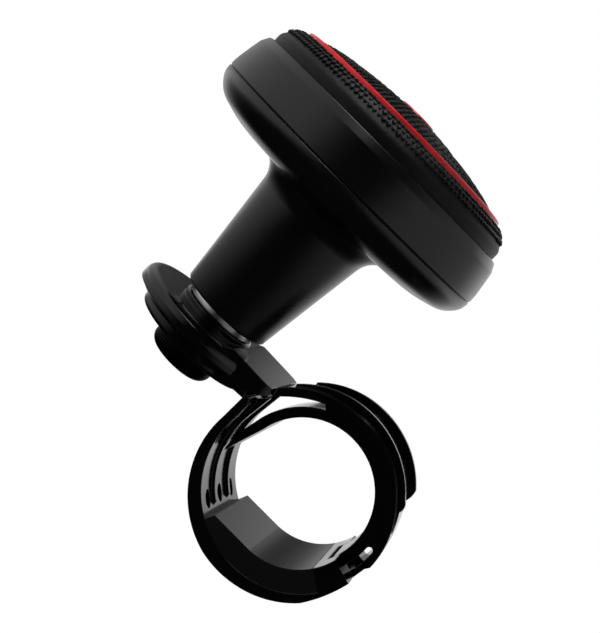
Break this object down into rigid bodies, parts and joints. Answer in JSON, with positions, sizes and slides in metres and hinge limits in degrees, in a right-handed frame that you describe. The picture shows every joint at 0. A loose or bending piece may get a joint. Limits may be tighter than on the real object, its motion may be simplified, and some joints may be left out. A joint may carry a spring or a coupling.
{
  "type": "steering wheel spinner knob",
  "caption": "Round spinner knob on a flared neck that turns on ball bearings above a hinged clamp for a steering wheel rim.",
  "frame": {"origin": "centre of the clamp's bore, halfway along its length", "axes": "+Y along the bore, +Z along the knob's spin axis towards the head, +X from the knob towards the clamp"},
  "size_m": [0.0927, 0.0682, 0.0907],
  "materials": {
    "satin_black": "satin",
    "gloss_black": "gloss",
    "textured_black": "fine grain",
    "red_gloss": "gloss",
    "black_rubber": "matte",
    "polished_steel": "polished",
    "black_steel": "black oxide",
    "zinc_steel": "satin",
    "bearing_steel": "polished",
    "cage_brass": "satin",
    "spacer_aluminium": "satin"
  },
  "bodies": {
    "clamp": {"upper_jaw": "gloss_black", "spindle": "polished_steel", "hinge_pin": "polished_steel", "lower_inner_race": "bearing_steel", "upper_inner_race": "bearing_steel", "bearing_spacer": "spacer_aluminium", "nut_washer": "zinc_steel", "spindle_nut": "zinc_steel"},
    "knob": {"upper_shell": "satin_black", "lower_shell": "satin_black", "grip_cap": "textured_black", "trim_ring": "red_gloss", "dome_insert": "textured_black", "centre_button": "red_gloss", "neck": "satin_black", "neck_screws": "zinc_steel", "shell_screws": "zinc_steel", "lower_outer_race": "bearing_steel", "upper_outer_race": "bearing_steel"},
    "lower_ball_set": {"lower_balls": "bearing_steel", "lower_cage": "cage_brass"},
    "upper_ball_set": {"upper_balls": "bearing_steel", "upper_cage": "cage_brass"},
    "swing_jaw": {"lower_jaw": "gloss_black", "rim_pad": "black_rubber"},
    "screw": {"clamp_screw": "black_steel", "clamp_washer": "zinc_steel"}
  },
  "joints": [
    {"name": "knob_spin", "type": "hinge", "parent": "clamp", "child": "knob", "pos_m": [-0.0384, 0, 0.0125], "axis": [0, 0, 1], "continuous": true},
    {"name": "lower_ball_set_spin", "type": "hinge", "parent": "clamp", "child": "lower_ball_set", "pos_m": [-0.0384, 0, 0.0125], "axis": [0, 0, 1], "continuous": true},
    {"name": "upper_ball_set_spin", "type": "hinge", "parent": "clamp", "child": "upper_ball_set", "pos_m": [-0.0384, 0, 0.0125], "axis": [0, 0, 1], "continuous": true},
    {"name": "screw_travel", "type": "slide", "parent": "clamp", "child": "screw", "axis": [0, 0, -1], "range_m": [0, 0.008]},
    {"name": "jaw_hinge", "type": "hinge", "parent": "clamp", "child": "swing_jaw", "pos_m": [0.01626, 0, -0.00592], "axis": [0, -1, 0], "range_deg": [0, 6.9]}
  ],
  "couplings": [
    {"joint": "lower_ball_set_spin", "follows": "knob_spin", "ratio": 0.596},
    {"joint": "upper_ball_set_spin", "follows": "knob_spin", "ratio": 0.596},
    {"joint": "jaw_hinge", "follows": "screw_travel", "rad_per_m": 15}
  ]
}
